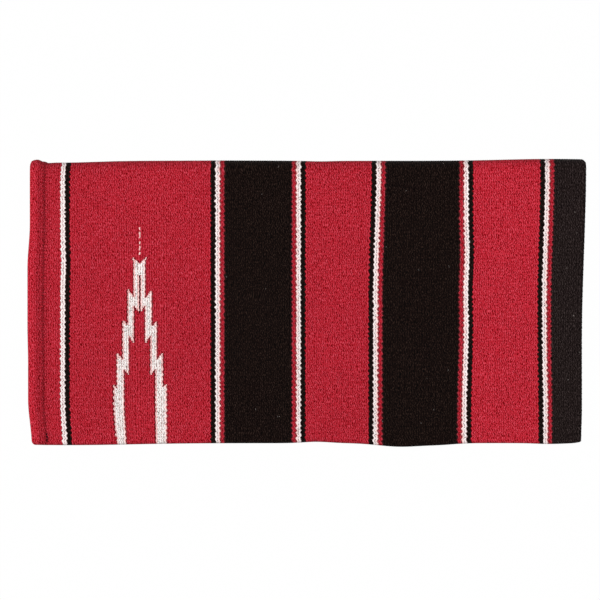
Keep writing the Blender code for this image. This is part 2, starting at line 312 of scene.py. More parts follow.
def ribbon_line(half_pick, leaf):
    """Distance from the hem of a line between ribbons, or along one's crest, at each row."""
    chance = np.random.default_rng(HAND_SEED[leaf] + half_pick)
    hand = np.interp(ROWS, np.arange(WARPS + 1), chance.normal(0, HAND, WARPS + 1))
    reaches = chance.normal(1, WAVE_SPREAD, WARPS // WARPS_A_REACH + 1)
    reach = np.interp(ROWS, np.arange(0, WARPS + 1, WARPS_A_REACH), reaches)
    warp = warp_count(half_pick, leaf)
    sway = WAVE * reach * np.sin(np.pi * warp) + SLANT * np.sin(2 * np.pi * warp)
    from_axis = half_pick / 2 - FIGURE_PICK
    height = np.minimum(ROWS, WARPS - ROWS) / WARPS * LEAF_LENGTH[leaf]
    stiff = STIFF_SHARE * np.exp(-((from_axis / STIFF_REACH) ** 4))
    stiff = (height < FIGURE_HEIGHT) * (stiff + AXIS_STIFF_SHARE * swell(0, AXIS_STIFF_REACH, from_axis))
    calm = smooth_step(0, CALM_LINES, np.float64(half_pick)) * (1 - stiff)
    calm = calm * smooth_step(*CALM_WARPS, np.abs(ROWS - WARPS / 2))
    crowded = (height < FIGURE_HEIGHT) * np.interp(from_axis, *CROWDED)
    if abs(from_axis) < SLIT_HALF_WIDTH:
        crowded = crowded * np.where(height < SLIT_HEIGHT, 1, ABOVE_SLIT_SHARE)
    if abs(from_axis) < FIGURE_REACH:
        crowded = crowded - NARROWED * (1 - smooth_step(0, NARROWED_HEIGHT, height)) * from_axis
    return (half_pick / 2 + crowded) * PICK + (sway + hand) * calm


def face_lift(q, warp, leaf, side):
    """How far a face of the cloth lies from its middle: round at the lip and selvedges, low in the seam."""
    lip = np.sqrt(np.clip(1 - (1 - np.clip(q / HALF_CLOTH, 0, 1)) ** 2, 0, 1))
    roll = ROLL * smooth_step(*ROLL_START, q) * (1 - smooth_step(*ROLL_END, q))
    away = q - SEAM_INSET
    share = np.clip(away / np.where(away < 0, VALLEY_TO_LIP, VALLEY_TO_CLOTH), -1, 1)
    valley = (1 + np.cos(np.pi * share)) / 2
    valley = valley * (1 - VALLEY_LOST_AT_SPINE * swell(WARPS / 2, VALLEY_LOST_WARPS, warp))
    extra = roll - FRONT_VALLEY * valley if side > 0 and leaf == "outer" else -BACK_VALLEY * valley
    inset = np.minimum(warp, WARPS - warp) / WARPS * LEAF_LENGTH[leaf]
    rim = np.sqrt(1 - (1 - np.clip(inset / RIM, 0, 1)) ** 2)
    return (HALF_CLOTH * lip + extra) * rim, rim


def cloth_grid(leaf, half_picks, side):
    """Points of one face of the cloth on the given ribbon lines, row by row."""
    q = np.stack([ribbon_line(half_pick, leaf) for half_pick in half_picks], axis=1)
    half_picks = np.asarray(half_picks)
    warp = np.repeat(ROWS[:, None], len(half_picks), axis=1)
    lift, rim = face_lift(q, warp, leaf, side)
    if side > 0:
        count = np.stack([warp_count(half_pick, leaf) for half_pick in half_picks], axis=1)
        crest = (half_picks % 2)[None, :] * (1 - BEAD_DIP + BEAD_DIP * np.cos(2 * np.pi * (count - 0.5)))
        lift = lift + BEAD * (crest - 0.5) * rim
    return folded(q, warp, side * lift, leaf)


SHARP_ANGLE = math.radians(65)


def mesh_from(name, points, corners, starts, yarn_of_face, maps, yarns):
    """A mesh whose faces are runs of corners, with a yarn for each face and UV maps by corner."""
    mesh = bpy.data.meshes.new(name)
    mesh.vertices.add(len(points))
    mesh.vertices.foreach_set("co", points.astype(np.float32).ravel())
    mesh.loops.add(len(corners))
    mesh.loops.foreach_set("vertex_index", corners.astype(np.int32))
    mesh.polygons.add(len(starts))
    mesh.polygons.foreach_set("loop_start", starts.astype(np.int32))
    mesh.update(calc_edges=True)
    for yarn in yarns:
        mesh.materials.append(yarn)
    mesh.polygons.foreach_set("material_index", yarn_of_face.astype(np.int32))
    for map_name, values in maps.items():
        layer = mesh.uv_layers.new(name=map_name)
        layer.uv.foreach_set("vector", values.astype(np.float32).ravel())
    mesh.shade_smooth()
    mesh.set_sharp_from_angle(angle=SHARP_ANGLE)
    mesh.validate()
    return mesh


# The sides of a length of cloth, and where each lies in its bake map: from the left, how much further
# right its off half is, and its width. A wall's two halves are one strip, and each half of a face is
# stretched to nearly the whole height of the map.
FRONT, BACK, FIRST_WALL, LAST_WALL = range(4)
BAKE_LEFTS = (0.0, 0.84, 0.97, 0.985)
BAKE_OFF_STEPS = (0.42, 0.065, 0, 0)
BAKE_WIDTHS = (0.41, 0.055, 0.01, 0.01)
BAKE_MARGIN = 0.01
BAKE_HEIGHT = 1 - 2 * BAKE_MARGIN
HALF_STRETCH = 1.98
PICK_SLACK = 1e-6


def woven(name, leaf, first, last, yarns, picks=(), back_step=BACK_STEP, inlay=None):
    """A closed length of cloth from pick first to pick last: front, back, both walls and both selvedges.

    Picks says how many picks each yarn fills, where more than one yarn lies side by side. Inlay may pick
    out spots of the front for other yarns.
    """
    halves = list(range(2 * first, 2 * last + 1))
    kept = sorted(set(range(0, len(halves), back_step)) | {len(halves) - 1})
    rows, across, behind = len(ROWS), len(halves), len(kept)
    front = cloth_grid(leaf, halves, 1)
    back = cloth_grid(leaf, [halves[k] for k in kept], -1)[1:-1]
    points = np.concatenate([front.reshape(-1, 3), back.reshape(-1, 3)])
    front_at = np.arange(rows * across).reshape(rows, across)
    back_at = np.empty((rows, behind), int)
    back_at[1:-1] = rows * across + np.arange((rows - 2) * behind).reshape(rows - 2, behind)
    back_at[0], back_at[-1] = front_at[0, kept], front_at[-1, kept]
    faces, sides = [], []

    def add(quads, side):
        faces.extend(quads.reshape(-1, 4).tolist())
        sides.extend([side] * (quads.size // 4))

    add(np.stack([front_at[:-1, :-1], front_at[:-1, 1:], front_at[1:, 1:], front_at[1:, :-1]], -1), FRONT)
    inner = back_at[1:-1]
    add(np.stack([inner[:-1, :-1], inner[1:, :-1], inner[1:, 1:], inner[:-1, 1:]], -1), BACK)
    for k in range(behind - 1):
        run = list(range(kept[k] + 1, kept[k + 1]))
        low = [front_at[0, kept[k]], back_at[1, k], back_at[1, k + 1], front_at[0, kept[k + 1]]]
        faces.append(low + [front_at[0, c] for c in reversed(run)])
        high = [back_at[-2, k], front_at[-1, kept[k]], *(front_at[-1, c] for c in run)]
        faces.append(high + [front_at[-1, kept[k + 1]], back_at[-2, k + 1]])
        sides.extend([BACK, BACK])
    start = [front_at[1:-2, 0], front_at[2:-1, 0], back_at[2:-1, 0], back_at[1:-2, 0]]
    add(np.stack(start, -1), FIRST_WALL)
    end = [front_at[1:-2, -1], back_at[1:-2, -1], back_at[2:-1, -1], front_at[2:-1, -1]]
    add(np.stack(end, -1), LAST_WALL)
    faces.append([front_at[0, 0], front_at[1, 0], back_at[1, 0]])
    faces.append([front_at[-2, 0], front_at[-1, 0], back_at[-2, 0]])
    faces.append([front_at[0, -1], back_at[1, -1], front_at[1, -1]])
    faces.append([front_at[-2, -1], back_at[-2, -1], front_at[-1, -1]])
    sides.extend([FIRST_WALL, FIRST_WALL, LAST_WALL, LAST_WALL])

    if leaf == "inner":
        faces = [face[::-1] for face in faces]
    counts = np.array([len(face) for face in faces])
    corners = np.fromiter((corner for face in faces for corner in face), int, counts.sum())
    starts = np.concatenate([[0], np.cumsum(counts)[:-1]])
    side = np.repeat(sides, counts)
    pick_at = np.concatenate([
        np.tile(np.array(halves) / 2, rows), np.tile(np.array(halves)[kept] / 2, rows - 2)
    ])
    warp_at = np.concatenate([np.repeat(ROWS, across), np.repeat(ROWS[1:-1], behind)])
    count = np.stack([warp_count(half_pick, leaf) for half_pick in halves], axis=1)
    count_at = np.concatenate([count.ravel(), count[1:-1, kept].ravel()])
    is_back = corners >= rows * across
    pick, warp = pick_at[corners], warp_at[corners]
    face_warp = np.repeat(np.add.reduceat(warp, starts) / counts, counts)
    face_pick = np.add.reduceat(pick, starts) / counts
    yarn_of_face = np.searchsorted(np.cumsum(picks)[:-1], face_pick - first - PICK_SLACK, side="right")
    if inlay is not None:
        inlaid = np.where(np.array(sides) == FRONT, inlay(face_pick, face_warp[starts]), 0)
        yarn_of_face = np.where(inlaid > 0, inlaid, yarn_of_face)
    off = face_warp > WARPS / 2
    is_face = side <= BACK
    left = np.choose(side, BAKE_LEFTS) + off * np.choose(side, BAKE_OFF_STEPS)
    share = np.where(is_face, (pick - first) / (last - first), is_back)
    up = np.where(off & is_face, warp / WARPS - 0.5, warp / WARPS) * np.where(is_face, HALF_STRETCH, 1.0)
    bake = np.stack([left + np.choose(side, BAKE_WIDTHS) * share, BAKE_MARGIN + BAKE_HEIGHT * up], -1)
    maps = {"Weave": np.stack([pick, count_at[corners]], -1), "OFBake": bake}
    mesh = mesh_from(name, points, corners, starts, yarn_of_face, maps, yarns)
    piece = bpy.data.objects.new(name, mesh)
    bpy.context.scene.collection.objects.link(piece)
    return piece


def fold_over_spine(piece, nodes):
    """Fixes a piece's place into its mesh, folded over the spine, and hides the solids that it stands in for.
    """
    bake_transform(piece)
    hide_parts(*nodes)


def picks_of(node):
    """First and last pick of a node, counted from the hem."""
    low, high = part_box(node)
    return round((low.x - HEM_X) / PICK), round((high.x + SEAT - HEM_X) / PICK)


class Dye:
    """One value in a node tree. Sums on it add Math nodes, and node() adds any other node."""

    def __init__(self, tree, socket=None):
        self.tree, self.socket = tree, socket

    def node(self, kind, settings, values, output=0):
        """A new node with its settings and its inputs, as the value of one of its outputs."""
        made = self.tree.nodes.new(kind)
        for key, value in settings.items():
            setattr(made, key, value)
        for key, value in values.items():
            if isinstance(value, Dye):
                self.tree.links.new(value.socket, made.inputs[key])
            else:
                made.inputs[key].default_value = value
        return Dye(self.tree, made.outputs[output])

    def maths(self, operation, *others):
        return self.node("ShaderNodeMath", {"operation": operation}, dict(enumerate((self, *others))))

    def __add__(self, other):
        return self.maths("ADD", other)

    __radd__ = __add__

    def __mul__(self, other):
        return self.maths("MULTIPLY", other)

    __rmul__ = __mul__

    def __sub__(self, other):
        return self.maths("SUBTRACT", other)

    def __rsub__(self, other):
        return self.node("ShaderNodeMath", {"operation": "SUBTRACT"}, {0: other, 1: self})

    def between(self, low, high):
        """0 below low and 1 above high, smoothly."""
        return self.node(
            "ShaderNodeMapRange", {"interpolation_type": "SMOOTHSTEP"}, {"Value": self, 1: low, 2: high}
        )

    def blended(self, first, second):
        """Colours first and second mixed by this value."""
        return self.node("ShaderNodeMix", {"data_type": "RGBA"}, {0: self, 6: first, 7: second}, 2)


def linear(red, green, blue):
    """A colour as paint charts write it, from 0 to 255, in the renderer's linear numbers."""
    parts = []
    for part in (red, green, blue):
        share = part / 255
        parts.append(share / 12.92 if share <= 0.04045 else ((share + 0.055) / 1.055) ** 2.4)
    return (*parts, 1)


# Slow changes of tone: a random cloud, painted shade in the crease at the spine, in the hem's seam and at
# the selvedges, and painted light on the lip, on the second red band and towards the spine. Places are
# picks from the hem or warps from the spine.
WOOL_TONE = 0.905
CLOUD = 0.14
SPINE_SHADE, SPINE_SHADE_WARPS, CREASE_WARPS = 0.14, (0.8, 6.5), (0.4, 2.0)
SEAM_SHADE, SEAM_PICK, SEAM_PICKS = 0.11, 7.1, (0.4, 4.0)
LIP_LIGHT, LIP_PICKS = 0.14, (2.0, 5.0)
SPINE_LIGHT, SPINE_LIGHT_WARPS = 0.05, (10.0, 80.0)
BAND_LIGHT, BAND_START_PICKS, BAND_END_PICKS = 0.13, (184.0, 192.0), (217.0, 222.0)
SELVEDGE_SHADE, SELVEDGE_WARPS = 0.28, (0.2, 1.1)

# Wool is dull, with a faint sheen and fine fibres
ROUGHNESS, FIBRE_ROUGHNESS = 0.82, 0.2
BUMP_STRENGTH, BUMP_HEIGHT = 0.8, 0.0005
SHEEN, SHEEN_ROUGHNESS = 0.02, 0.6
GLOSS = 0.03


def wool(name, shade, crevice_shade, crest, lint_and_shade_speck, lint_and_shade_share, mottled):
    """Weft-faced wool: short slanted strands over each warp, dark between them, with a little lint.

    Colours run from 0 to 255, as paint charts write them. Mottled is how much of the pattern comes from
    stray strands, against the even beads of the weave. The crevice colour between the strands is painted
    shade, the crest colour is partly painted highlight, and on white wool the specks are painted shadow
    as well as lint.
    """
    shade, crevice_shade, crest, lint_and_shade_speck = (linear(*colour) for colour in (shade, crevice_shade, crest, lint_and_shade_speck))
    material = bpy.data.materials.new(name)
    material.use_nodes = True
    tree = material.node_tree
    surface = tree.nodes["Principled BSDF"]
    start = Dye(tree)
    weave = start.node("ShaderNodeUVMap", {"uv_map": "Weave"}, {})
    across = start.node("ShaderNodeSeparateXYZ", {}, {0: weave}, 0)
    along = start.node("ShaderNodeSeparateXYZ", {}, {0: weave}, 1)

    def grain(picks, warps, slant, detail, seed):
        """Noise with so many grains to a pick and to a warp, slanted over the warps."""
        place = {0: across * picks + along * slant, 1: along * warps, 2: seed}
        spot = start.node("ShaderNodeCombineXYZ", {}, place)
        return start.node("ShaderNodeTexNoise", {}, {"Vector": spot, "Scale": 1.0, "Detail": detail})

    stray_line = grain(picks=1.0, warps=0.8, slant=0.0, detail=1.0, seed=1.0) - 0.5
    ribbon = across + stray_line * (0.2 + 1.3 * mottled)
    aside = (ribbon.maths("FRACT") - 0.5).maths("ABSOLUTE") * 2
    beyond = (along.maths("FRACT") - 0.5).maths("ABSOLUTE") * 2
    strand = grain(picks=3.0, warps=1.4, slant=0.7, detail=0.5, seed=21.0)
    fibre = grain(picks=6.0, warps=2.4, slant=0.9, detail=2.0, seed=4.0)
    cloud = grain(picks=0.05, warps=0.045, slant=0.0, detail=2.0, seed=9.0)
    # Painted shade in the crevices, along ribbon edges and where strands part, and a painted highlight on the
    # crests, mixed with random fibre tone
    open_strand = 1 - strand.between(0.38, 0.58)
    parted = 0.4 - 0.3 * mottled
    crevice_shade_mask = aside.between(0.3, 0.95) * (parted + open_strand * mottled) + open_strand * (0.4 * mottled)
    crevice_shade_mask = (crevice_shade_mask + (beyond * aside).between(0.35, 0.9) * 0.5).maths("MINIMUM", 1.0)
    close_strand = strand.between(0.48, 0.62) * mottled
    lit = (1 - aside).between(0.3, 1.0) * (0.2 + close_strand * 0.8)
    lit = lit + close_strand * 0.3 + (fibre - 0.5) * 0.5
    lit = lit.maths("MINIMUM", 1.0).maths("MAXIMUM", 0.0)
    colour = crevice_shade_mask.blended(shade, crevice_shade)
    colour = lit.blended(colour, crest)
    cell_place = {0: (across * 3).maths("FLOOR"), 1: (along * 2).maths("FLOOR"), 2: 5.0}
    cell = start.node("ShaderNodeCombineXYZ", {}, cell_place)
    stray = start.node("ShaderNodeTexWhiteNoise", {"noise_dimensions": "3D"}, {"Vector": cell})
    # Specks: lint on coloured wool, and on white wool painted shadow as well as lint
    lint_and_shade_specks = stray.between(1 - lint_and_shade_share, 1 - lint_and_shade_share / 2) * fibre.between(0.42, 0.6)
    colour = lint_and_shade_specks.blended(colour, lint_and_shade_speck)
    from_spine = (along - WARPS / 2).maths("ABSOLUTE")
    from_seam = (across - SEAM_PICK).maths("ABSOLUTE")
    # Painted shade in the crease at the spine and in the seam, and painted light on the lip, the band and
    # near the spine
    painted_crease_shade = (1 - from_spine.between(*SPINE_SHADE_WARPS)) * SPINE_SHADE
    painted_crease_shade = painted_crease_shade + (1 - from_spine.between(*CREASE_WARPS)) * SPINE_SHADE
    painted_seam_shade = (1 - from_seam.between(*SEAM_PICKS)) * SEAM_SHADE
    painted_light = (1 - across.between(*LIP_PICKS)) * LIP_LIGHT
    painted_light = painted_light + (1 - from_spine.between(*SPINE_LIGHT_WARPS)) * SPINE_LIGHT
    painted_light = painted_light + across.between(*BAND_START_PICKS) * (1 - across.between(*BAND_END_PICKS)) * BAND_LIGHT
    # Painted shade at the selvedges
    selvedge = (WARPS / 2 - from_spine).between(*SELVEDGE_WARPS)
    tone = WOOL_TONE + cloud * CLOUD + painted_light - painted_crease_shade - painted_seam_shade
    tone = tone * (1 - SELVEDGE_SHADE + selvedge * SELVEDGE_SHADE)
    grey = start.node("ShaderNodeCombineXYZ", {}, {0: tone, 1: tone, 2: tone})
    colour = start.node("ShaderNodeVectorMath", {"operation": "MULTIPLY"}, {0: colour, 1: grey})
    tree.links.new(colour.socket, surface.inputs["Base Color"])
    tree.links.new((ROUGHNESS + fibre * FIBRE_ROUGHNESS).socket, surface.inputs["Roughness"])
    height = (1 - aside * aside) * 0.5 + strand * 1.2 + fibre * 0.3
    relief = {"Height": height, "Strength": BUMP_STRENGTH, "Distance": BUMP_HEIGHT}
    bump = start.node("ShaderNodeBump", {}, relief)
    tree.links.new(bump.socket, surface.inputs["Normal"])
    surface.inputs["Sheen Weight"].default_value = SHEEN
    surface.inputs["Sheen Roughness"].default_value = SHEEN_ROUGHNESS
    surface.inputs["Specular IOR Level"].default_value = GLOSS
    return material


red_wool = wool(
    "red_wool", shade=(182, 23, 39), crevice_shade=(108, 0, 2), crest=(204, 69, 86), lint_and_shade_speck=(110, 2, 14),
    lint_and_shade_share=0.004, mottled=0.85,
)
# Red in painted shade, for the red beside the white figures and at the edges of the guards' red stripes
shaded_red_wool = wool(
    "shaded_red_wool", shade=(106, 24, 30), crevice_shade=(62, 4, 12), crest=(168, 74, 82), lint_and_shade_speck=(90, 4, 10),
    lint_and_shade_share=0.004, mottled=0.6,
)
# Near-black red, painted shadow for the slit down each figure and the gap at the seam's open end
painted_gap_shadow_wool = wool(
    "painted_gap_shadow_wool", shade=(58, 12, 18), crevice_shade=(14, 2, 4), crest=(110, 30, 38), lint_and_shade_speck=(20, 0, 2),
    lint_and_shade_share=0.02, mottled=0.8,
)


def band(leaf, stripe, yarns, picks=(), back_step=BACK_STEP, inlay=None):
    """Weaves one stripe of a pair of leaves, over the spine, and puts it in place of its two solids."""
    nodes = [f"near_{leaf}_{stripe}", f"off_{leaf}_{stripe}"]
    first, last = picks_of(nodes[0])
    piece = woven(f"{leaf}_{stripe}", leaf, first, last, yarns, picks, back_step, inlay)
    fold_over_spine(piece, nodes)


# White zigzags
# A stepped figure of white wool is woven into the face of each field: columns in pairs, each lower and
# further out than the last, with pointed ends, a slit down the middle and a row of single beads above.

# Each column from the middle outwards: where its edges lie from the figure's axis, how high its top and
# its foot are (-1 runs out at the selvedge), how much lower the right one's top is, and how much wider
# its head is. The outermost on the left is narrower near the selvedge.
COLUMN_INNERS = (0, 0.0077, 0.0162, 0.0230, 0.0230)
COLUMN_OUTERS = (0.0077, 0.0180, 0.0248, 0.0333, 0.0384)
COLUMN_TOPS = (0.2726, 0.2268, 0.1812, 0.1334, 0.0874)
COLUMN_FEET = (0.1914, 0.1464, 0.0999, -1, -1)
RIGHT_LATE = (0, 0.0018, 0.0020, 0.0003, -0.0010)
FLARES = (0.0014, 0, 0, 0, 0)
FLARE_HEIGHT = 0.0040
TAPER = 0.0120

# The slit down the middle, the single beads above it, how steep the columns' ends are, and how far the
# white stands proud of the field and goes down into its bed
SLIT_TOP = 0.2466
SLIT_PICKS = 0.26
SLIT_BELOW = 0.002
AXIS_SLACK = 1e-5
DASHES = ((0.3122, 0.3165), (0.3002, 0.3099), (0.2909, 0.2955), (0.2829, 0.2894), (0.2756, 0.2793))
TIP_SLOPE, FOOT_SLOPE = 1.3, 1.45
PROUD = 0.00012
FIGURE_BED = 0.0032
SHORTEST = 1e-9

stained_wool = wool(
    "stained_wool", shade=(255, 204, 200), crevice_shade=(206, 120, 120), crest=(255, 232, 229), lint_and_shade_speck=(150, 90, 90),
    lint_and_shade_share=0.1, mottled=0.4,
)
zigzag_wool = wool(
    "zigzag_wool", shade=(255, 246, 243), crevice_shade=(176, 136, 132), crest=(255, 255, 254), lint_and_shade_speck=(104, 99, 92),
    lint_and_shade_share=0.42, mottled=0.5,
)


def in_figure(pick, warp, leaf):
    """Whether spots of the field, by their picks and warps, belong to a white figure."""
    height = np.minimum(warp, WARPS - warp) / WARPS * LEAF_LENGTH[leaf]
    right = (pick - FIGURE_PICK) * PICK
    aside = np.abs(right)
    inside = np.zeros(aside.shape, bool)
    columns = zip(COLUMN_INNERS, COLUMN_OUTERS, COLUMN_TOPS, COLUMN_FEET, RIGHT_LATE, FLARES)
    for inner, outer, top, foot, late, flare in columns:
        top = top - late * (right > 0)
        outer = outer + flare * (height > top - FLARE_HEIGHT)
        outer = outer - PICK / 2 * ((height < TAPER) & (right < -inner))
        under_tip = height < top - TIP_SLOPE * (outer - aside)
        over_foot = height > foot + FOOT_SLOPE * (aside - inner)
        inside |= (aside >= inner) & (aside <= outer) & under_tip & over_foot
    middle = aside < PICK / 4 + AXIS_SLACK
    inside &= ~(middle & (height < SLIT_TOP))
    for low, high in DASHES:
        inside |= middle & (height > low) & (height < high)
    return inside


def beside_figure(pick, warp):
    """Yarns set into the field: 1, painted shadow in a figure's slit, 2, painted shade beside its white."""
    height = np.minimum(warp, WARPS - warp) / WARPS * LEAF_LENGTH["outer"]
    slit = (height > COLUMN_FEET[0] - SLIT_BELOW) & (height < SLIT_TOP)
    slit &= np.abs(pick - FIGURE_PICK) < SLIT_PICKS
    shaded = in_figure(pick - 0.5, warp, "outer") | in_figure(pick + 0.5, warp, "outer")
    return np.where(slit, 1, np.where(shaded & (height < COLUMN_TOPS[0]), 2, 0))


def figure_mask(side, leaf):
    """Which cells of the field's grid are white, and the grid's first and last ribbon line."""
    first, last = picks_of(f"near_{leaf}_figure_field")
    picks = (np.arange(2 * first, 2 * last) + 0.5) / 2
    middles = (ROWS[:-1] + ROWS[1:]) / 2
    near = (middles < WARPS / 2) == (side == "near")
    mask = in_figure(*np.broadcast_arrays(picks[None, :], middles[:, None]), leaf)
    return mask & near[:, None], first, last


def zigzag(side, leaf):
    """One figure's white wool: a closed piece in its bed in the field, with stained cells along its edges."""
    mask, first, last = figure_mask(side, leaf)
    halves = list(range(2 * first, 2 * last + 1))
    top = cloth_grid(leaf, halves, 1)
    under = cloth_grid(leaf, halves, -1)
    out = top - under
    out /= np.maximum(np.linalg.norm(out, axis=-1, keepdims=True), SHORTEST)
    bed = top - out * FIGURE_BED
    top = top + out * PROUD
    points, index, faces, yarn_of_face = [], {}, [], []

    def at(row, line, face):
        key = (row, line, face)
        if key not in index:
            index[key] = len(points)
            points.append((top if face else bed)[row, line])
        return index[key]

    spots = []
    padded = np.pad(mask, 1)
    for row, line in zip(*np.nonzero(mask)):
        ring = [(row, line), (row, line + 1), (row + 1, line + 1), (row + 1, line)]
        faces.append([at(r, c, 1) for r, c in ring])
        faces.append([at(r, c, 0) for r, c in reversed(ring)])
        spots += ring + ring[::-1]
        yarn_of_face += [not (padded[row + 1, line] and padded[row + 1, line + 2]), 0]
        beside = [(row, line + 1), (row + 1, line + 2), (row + 2, line + 1), (row + 1, line)]
        for number, (r, c) in enumerate(beside):
            if not padded[r, c]:
                one, two = ring[number], ring[(number + 1) % 4]
                faces.append([at(*two, 1), at(*one, 1), at(*one, 0), at(*two, 0)])
                spots += [two, one, one, two]
                yarn_of_face.append(1)
    if leaf == "inner":
        faces = [face[::-1] for face in faces]
        spots = [spot for k in range(0, len(spots), 4) for spot in reversed(spots[k : k + 4])]
    spots = np.array(spots)
    count = np.stack([warp_count(half_pick, leaf) for half_pick in halves], axis=1)
    weave = np.stack([spots[:, 1] / 2 + first, count[spots[:, 0], spots[:, 1]]], -1)
    low, high = weave.min(0), weave.max(0)
    maps = {"Weave": weave, "OFBake": (weave - low) / (high - low)}
    corners = np.array(faces).ravel()
    starts = np.arange(len(faces)) * 4
    name = f"{side}_{leaf}_zigzag"
    yarns = [zigzag_wool, stained_wool]
    mesh = mesh_from(name + "_wool", np.array(points), corners, starts, np.array(yarn_of_face), maps, yarns)
    piece = bpy.data.objects.new(name + "_wool", mesh)
    bpy.context.scene.collection.objects.link(piece)
    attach(piece, f"{side}_side")
    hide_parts(name)
    return piece


# Each field is woven together with the two figures that lie in it
for leaf in LEAF_RADIUS:
    figures = [zigzag(side, leaf) for side in ("near", "off")]
    yarns = [red_wool, painted_gap_shadow_wool, shaded_red_wool]
    band(leaf, "figure_field", yarns, inlay=beside_figure)


# Plain bands
# Between the guard stripes the field is plain: two black bands and two red ones in each leaf,
# woven in the same wool and packed just as tightly.

black_wool = wool(
    "black_wool", shade=(7, 0, 0), crevice_shade=(1, 0, 0), crest=(47, 34, 29), lint_and_shade_speck=(120, 112, 108),
    lint_and_shade_share=0.0006, mottled=0.85,
)

for leaf in LEAF_RADIUS:
    for number in (1, 2):
        band(leaf, f"black_band_{number}", [black_wool])
        band(leaf, f"red_band_{number}", [red_wool])


# Guard stripes
# Each change between red and black is edged by three stripes of two picks: black, white and red from a
# red band to a black one, and the same the other way round back. The hem has one of two stripes.

white_wool = wool(
    "white_wool", shade=(253, 238, 236), crevice_shade=(130, 78, 76), crest=(255, 255, 255), lint_and_shade_speck=(100, 90, 86),
    lint_and_shade_share=0.14, mottled=0.3,
)

# From a red band to a black one. The white has taken some dye beside the red, which is in shade at its
# sides.
GUARD_YARNS = (black_wool, white_wool, stained_wool, shaded_red_wool, red_wool, shaded_red_wool)
GUARD_PICKS = (2, 1.5, 0.5, 0.5, 1, 0.5)
GUARDS = 5

for leaf in LEAF_RADIUS:
    for number in range(1, GUARDS + 1):
        order = 1 if number % 2 else -1
        yarns, picks = GUARD_YARNS[::order], GUARD_PICKS[::order]
        band(leaf, f"guard_{number}", yarns, picks, NARROW_BACK_STEP)
    band(leaf, "end_guard", [white_wool, black_wool], (2, 2), NARROW_BACK_STEP)


# Centre band
# The black middle of the blanket turns round the length fold, from the outer leaf to the inner one.
# It is one piece of cloth on all four leaves.

CENTRE_PICKS = 26

# A lighter black, painted light on the centre band where it rounds the length fold
painted_light_black_wool = wool(
    "painted_light_black_wool", shade=(24, 15, 14), crevice_shade=(8, 3, 3), crest=(60, 50, 49), lint_and_shade_speck=(120, 112, 108),
    lint_and_shade_share=0.0008, mottled=0.8,
)
centre = woven("centre_band", "centre", LEAF_PICKS, LEAF_PICKS + CENTRE_PICKS, [painted_light_black_wool])
fold_over_spine(centre, ["near_centre_band", "off_centre_band"])


# Hemmed ends
# The end of each leaf is turned in to a round lip and sewn down, so that a soft valley runs along
# the seam. It is red wool, like the fields.

# A stitch turns by up to its swing, in radians, and the seam lies nearer the lip by the stitches' shift.
# The seeds are those of the cloth's front, 1, and of its back, -1.
STITCH_SPACING = 0.0047
STITCH_LENGTH = 0.0086
STITCH_SWING = 0.16
STITCH_SHIFT = 0.0012
STITCH_SEED = {1: 4, -1: 2}
THREAD_RADIUS = 0.0005
THREAD_RISE = 0.8 * THREAD_RADIUS
THREAD_FLATNESS = 0.7
THREAD_FIBRE = 0.002
ARCH_STEPS, THREAD_SIDES, KNOTS_A_STITCH = 8, 6, 4

# Ends and middle of a stitch's arch: share of its length from the middle, and rise in thread radii
STITCH_ARCH = ((-0.5, -2.0), (0.0, 4.6), (0.5, -2.0))

# The gap at the open end of the seam: the pick that it lies on, and how far up from the selvedge it runs
GAP_PICK, GAP_HALF_WIDTH = 7.0, 0.3
GAP_LOW, GAP_HIGH = 0.0045, 0.0175

hem_thread = wool(
    "hem_thread", shade=(150, 24, 36), crevice_shade=(100, 6, 14), crest=(180, 60, 72), lint_and_shade_speck=(90, 0, 10),
    lint_and_shade_share=0.004, mottled=0.5,
)


